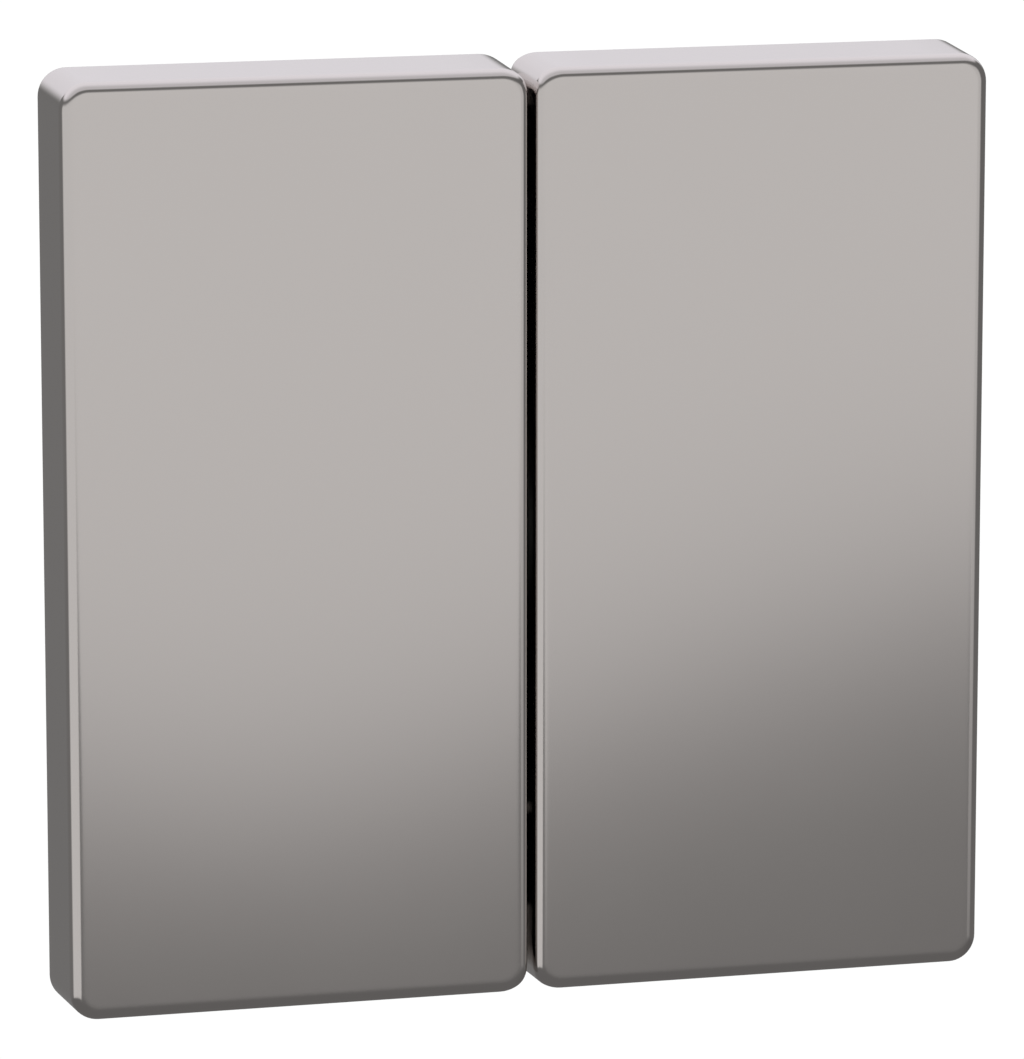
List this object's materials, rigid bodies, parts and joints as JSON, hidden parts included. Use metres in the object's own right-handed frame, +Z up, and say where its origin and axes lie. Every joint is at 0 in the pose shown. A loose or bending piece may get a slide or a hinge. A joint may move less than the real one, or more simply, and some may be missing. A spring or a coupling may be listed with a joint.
{
  "type": "rocker wall switch",
  "caption": "Flush wall switch with two tall satin-metal rockers side by side on a steel-plated insert with wire clamps and spreading claws.",
  "frame": {"origin": "middle of the support plate's back face, which lies on the wall, centred over the wall box", "axes": "+X to the right as seen from the room, +Y into the wall, +Z up; the rockers face -Y"},
  "size_m": [0.0706, 0.0387, 0.07],
  "materials": {
    "satin_metal": "satin nickel-toned metal, fine even grain",
    "carrier_plastic": "moulded, matt",
    "toggle_plastic": "moulded, satin",
    "spring_steel": "bright drawn or rolled spring steel",
    "brass": "rolled strip",
    "silver_contact": "silver-alloy contact rivet",
    "housing_plastic": "moulded thermoset, matt",
    "cover_plastic": "moulded, matt",
    "zinc_steel": "pressed steel, bright zinc plate",
    "screw_steel": "zinc-plated screw steel",
    "release_plastic": "moulded, satin"
  },
  "bodies": {
    "insert": {"base_housing": "housing_plastic", "mechanism_cover": "cover_plastic", "cover_screw_lower": "screw_steel", "cover_screw_upper": "screw_steel", "support_plate": "zinc_steel", "common_busbar": "brass", "fixed_terminal_left": "brass", "fixed_terminal_right": "brass", "fixed_contact_left": "silver_contact", "fixed_contact_right": "silver_contact", "clamp_spring_left": "spring_steel", "clamp_spring_right": "spring_steel", "clamp_spring_line": "spring_steel"},
    "rocker_left": {"rocker_shell_left": "satin_metal", "rocker_carrier_left": "carrier_plastic", "toggle_left": "toggle_plastic", "plunger_spring_left": "spring_steel"},
    "plunger_left": {"plunger_left": "toggle_plastic"},
    "contact_left": {"contact_rocker_left": "brass", "moving_contact_left": "silver_contact"},
    "claw_left": {"claw_left": "zinc_steel"},
    "claw_screw_left": {"claw_screw_left": "screw_steel"},
    "rocker_right": {"rocker_shell_right": "satin_metal", "rocker_carrier_right": "carrier_plastic", "toggle_right": "toggle_plastic", "plunger_spring_right": "spring_steel"},
    "plunger_right": {"plunger_right": "toggle_plastic"},
    "contact_right": {"contact_rocker_right": "brass", "moving_contact_right": "silver_contact"},
    "claw_right": {"claw_right": "zinc_steel"},
    "claw_screw_right": {"claw_screw_right": "screw_steel"},
    "release_left": {"release_button_left": "release_plastic"},
    "release_right": {"release_button_right": "release_plastic"},
    "release_line": {"release_button_line": "release_plastic"}
  },
  "joints": [
    {"name": "rocker_left_tilt", "type": "hinge", "parent": "insert", "child": "rocker_left", "pos_m": [-0.0099, 0.0033, 0], "axis": [-1, 0, 0], "range_deg": [0, 7]},
    {"name": "plunger_left_slide", "type": "slide", "parent": "rocker_left", "child": "plunger_left", "axis": [0, -0.9981, -0.061], "range_m": [0, 0.0006], "stiffness_N_per_m": 900, "deforming": ["plunger_spring_left"]},
    {"name": "contact_left_swing", "type": "hinge", "parent": "insert", "child": "contact_left", "pos_m": [-0.0099, 0.016, 0], "axis": [1, 0, 0], "range_deg": [0, 18]},
    {"name": "claw_left_screw_turn", "type": "hinge", "parent": "insert", "child": "claw_screw_left", "pos_m": [-0.0259, 0, -0.0065], "axis": [0, 1, 0], "range_deg": [0, 900]},
    {"name": "claw_left_swing", "type": "hinge", "parent": "insert", "child": "claw_left", "pos_m": [-0.0231, 0.0042, -0.0065], "axis": [0, 0, 1], "range_deg": [0, 22]},
    {"name": "rocker_right_tilt", "type": "hinge", "parent": "insert", "child": "rocker_right", "pos_m": [0.0099, 0.0033, 0], "axis": [-1, 0, 0], "range_deg": [0, 7]},
    {"name": "plunger_right_slide", "type": "slide", "parent": "rocker_right", "child": "plunger_right", "axis": [0, -0.9981, -0.061], "range_m": [0, 0.0006], "stiffness_N_per_m": 900, "deforming": ["plunger_spring_right"]},
    {"name": "contact_right_swing", "type": "hinge", "parent": "insert", "child": "contact_right", "pos_m": [0.0099, 0.016, 0], "axis": [1, 0, 0], "range_deg": [0, 18]},
    {"name": "claw_right_screw_turn", "type": "hinge", "parent": "insert", "child": "claw_screw_right", "pos_m": [0.0259, 0, 0.0065], "axis": [0, 1, 0], "range_deg": [0, 900]},
    {"name": "claw_right_swing", "type": "hinge", "parent": "insert", "child": "claw_right", "pos_m": [0.0231, 0.0042, 0.0065], "axis": [0, 0, -1], "range_deg": [0, 22]},
    {"name": "release_left_press", "type": "slide", "parent": "insert", "child": "release_left", "axis": [0, -1, 0], "range_m": [0, 0.0012], "stiffness_N_per_m": 1500, "deforming": ["clamp_spring_left"]},
    {"name": "release_right_press", "type": "slide", "parent": "insert", "child": "release_right", "axis": [0, -1, 0], "range_m": [0, 0.0012], "stiffness_N_per_m": 1500, "deforming": ["clamp_spring_right"]},
    {"name": "release_line_press", "type": "slide", "parent": "insert", "child": "release_line", "axis": [0, -1, 0], "range_m": [0, 0.0012], "stiffness_N_per_m": 1500, "deforming": ["clamp_spring_line"]}
  ],
  "couplings": [
    {"joint": "contact_left_swing", "follows": "rocker_left_tilt", "ratio": 2.5714},
    {"joint": "claw_left_swing", "follows": "claw_left_screw_turn", "ratio": 0.024444},
    {"joint": "contact_right_swing", "follows": "rocker_right_tilt", "ratio": 2.5714},
    {"joint": "claw_right_swing", "follows": "claw_right_screw_turn", "ratio": 0.024444}
  ]
}
